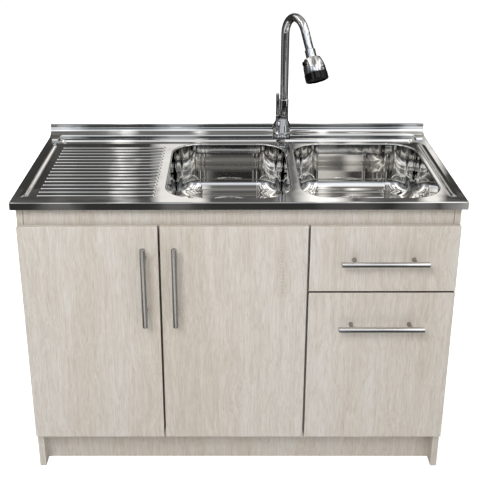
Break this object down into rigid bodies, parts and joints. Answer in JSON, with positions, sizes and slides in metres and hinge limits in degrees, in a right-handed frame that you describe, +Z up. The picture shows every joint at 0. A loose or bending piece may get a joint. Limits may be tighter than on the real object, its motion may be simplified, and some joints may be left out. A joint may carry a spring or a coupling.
{
  "type": "kitchen sink unit",
  "caption": "Free-standing kitchen sink unit: pressed steel top with bowls, ribbed drainer and upstand, gooseneck mixer tap, laminate cupboard with hinged doors and drawers.",
  "frame": {"origin": "on the floor, under the middle of the unit's overall width and depth, handles included", "axes": "+X to the right of the person at the sink, +Y away from them towards the wall, +Z up"},
  "size_m": [1.2, 0.636, 1.2595],
  "materials": {
    "laminate": "pale limed oak laminate, satin, vertical grain",
    "white_board": "white melamine, satin",
    "hardboard": "thin painted hardboard",
    "polished_steel": "mirror polished stainless steel",
    "waste_steel": "polished stainless steel",
    "satin_steel": "fine brushed steel",
    "hinge_steel": "nickel plated steel",
    "runner_steel": "zinc plated steel",
    "chrome": "bright chrome plating",
    "black_plastic": "black, slightly glossy",
    "white_pipe": "white polypropylene",
    "rubber": "black rubber",
    "brass": "plain brass",
    "copper_tail": "copper tube"
  },
  "bodies": {
    "cabinet": {"side_panel_left": "laminate", "side_panel_right": "laminate", "floor_panel": "laminate", "kickboard": "laminate", "rear_plinth_rail": "laminate", "front_rail": "laminate", "rear_rail": "laminate", "partition": "laminate", "back_panel": "hardboard", "hinge_arms": "hinge_steel", "runner_channels": "runner_steel", "sink_top": "polished_steel", "left_bowl": "polished_steel", "right_bowl": "polished_steel", "waste_bodies": "waste_steel", "waste_nuts": "white_pipe", "waste_tee": "white_pipe", "waste_elbow": "white_pipe", "cross_pipe": "white_pipe", "trap_body": "white_pipe", "trap_cup": "white_pipe", "outlet_pipe": "white_pipe", "tap_gasket": "rubber", "tap_body": "chrome", "spout_socket": "chrome", "tap_nut": "brass", "tap_tails": "copper_tail"},
    "left_door": {"left_door": "laminate", "left_door_hinge_cups": "hinge_steel", "left_door_handle_bar": "satin_steel", "left_door_handle_posts": "satin_steel"},
    "middle_door": {"middle_door": "laminate", "middle_door_hinge_cups": "hinge_steel", "middle_door_handle_bar": "satin_steel", "middle_door_handle_posts": "satin_steel"},
    "top_drawer": {"top_drawer_front": "laminate", "top_drawer_sides": "white_board", "top_drawer_back": "white_board", "top_drawer_base": "hardboard", "top_drawer_runners": "runner_steel", "top_drawer_handle_bar": "satin_steel", "top_drawer_handle_posts": "satin_steel"},
    "deep_drawer": {"deep_drawer_front": "laminate", "deep_drawer_sides": "white_board", "deep_drawer_back": "white_board", "deep_drawer_base": "hardboard", "deep_drawer_runners": "runner_steel", "deep_drawer_handle_bar": "satin_steel", "deep_drawer_handle_posts": "satin_steel"},
    "lever_collar": {"lever_collar": "chrome"},
    "lever": {"lever": "chrome"},
    "side_lever": {"side_lever": "chrome"},
    "spout": {"spout_tube": "chrome", "spout_collar": "chrome"},
    "spray_head": {"spray_head": "chrome", "spray_face": "black_plastic"},
    "nozzle_ring": {"nozzle_ring": "black_plastic"},
    "spray_button": {"spray_button": "black_plastic"},
    "left_strainer": {"left_strainer_basket": "waste_steel"},
    "right_strainer": {"right_strainer_basket": "waste_steel"}
  },
  "joints": [
    {"name": "left_door_hinge", "type": "hinge", "parent": "cabinet", "child": "left_door", "pos_m": [-0.583, -0.275, 0.45], "axis": [0, 0, -1], "range_deg": [0, 105]},
    {"name": "middle_door_hinge", "type": "hinge", "parent": "cabinet", "child": "middle_door", "pos_m": [0.181, -0.275, 0.45], "axis": [0, 0, 1], "range_deg": [0, 80]},
    {"name": "top_drawer_slide", "type": "slide", "parent": "cabinet", "child": "top_drawer", "axis": [0, -1, 0], "range_m": [0, 0.19]},
    {"name": "deep_drawer_slide", "type": "slide", "parent": "cabinet", "child": "deep_drawer", "axis": [0, -1, 0], "range_m": [0, 0.33]},
    {"name": "lever_turn", "type": "hinge", "parent": "cabinet", "child": "lever_collar", "pos_m": [0.141, 0.256, 0.923], "axis": [0, 0, 1], "range_deg": [-35, 35]},
    {"name": "lever_lift", "type": "hinge", "parent": "lever_collar", "child": "lever", "pos_m": [0.141, 0.229, 0.923], "axis": [-1, 0, 0], "range_deg": [0, 20]},
    {"name": "side_lever_turn", "type": "hinge", "parent": "cabinet", "child": "side_lever", "pos_m": [0.1265, 0.256, 0.94808], "axis": [1, 0, 0], "range_deg": [0, 90]},
    {"name": "spout_swivel", "type": "hinge", "parent": "cabinet", "child": "spout", "pos_m": [0.1465, 0.256, 1], "axis": [0, 0, 1], "range_deg": [-70, 55]},
    {"name": "head_turn", "type": "hinge", "parent": "spout", "child": "spray_head", "pos_m": [0.2164, 0.11882, 1.14425], "axis": [0.227, -0.4455, -0.866], "range_deg": [-170, 170]},
    {"name": "nozzle_turn", "type": "hinge", "parent": "spray_head", "child": "nozzle_ring", "pos_m": [0.22684, 0.09833, 1.10442], "axis": [0.227, -0.4455, -0.866], "range_deg": [0, 45]},
    {"name": "button_press", "type": "slide", "parent": "spray_head", "child": "spray_button", "axis": [0.891, 0.454, 0], "range_m": [0, 0.002], "stiffness_N_per_m": 200, "springref_m": -0.001},
    {"name": "left_strainer_lift", "type": "slide", "parent": "cabinet", "child": "left_strainer", "axis": [0, 0, 1], "range_m": [0, 0.12]},
    {"name": "right_strainer_lift", "type": "slide", "parent": "cabinet", "child": "right_strainer", "axis": [0, 0, 1], "range_m": [0, 0.12]}
  ]
}
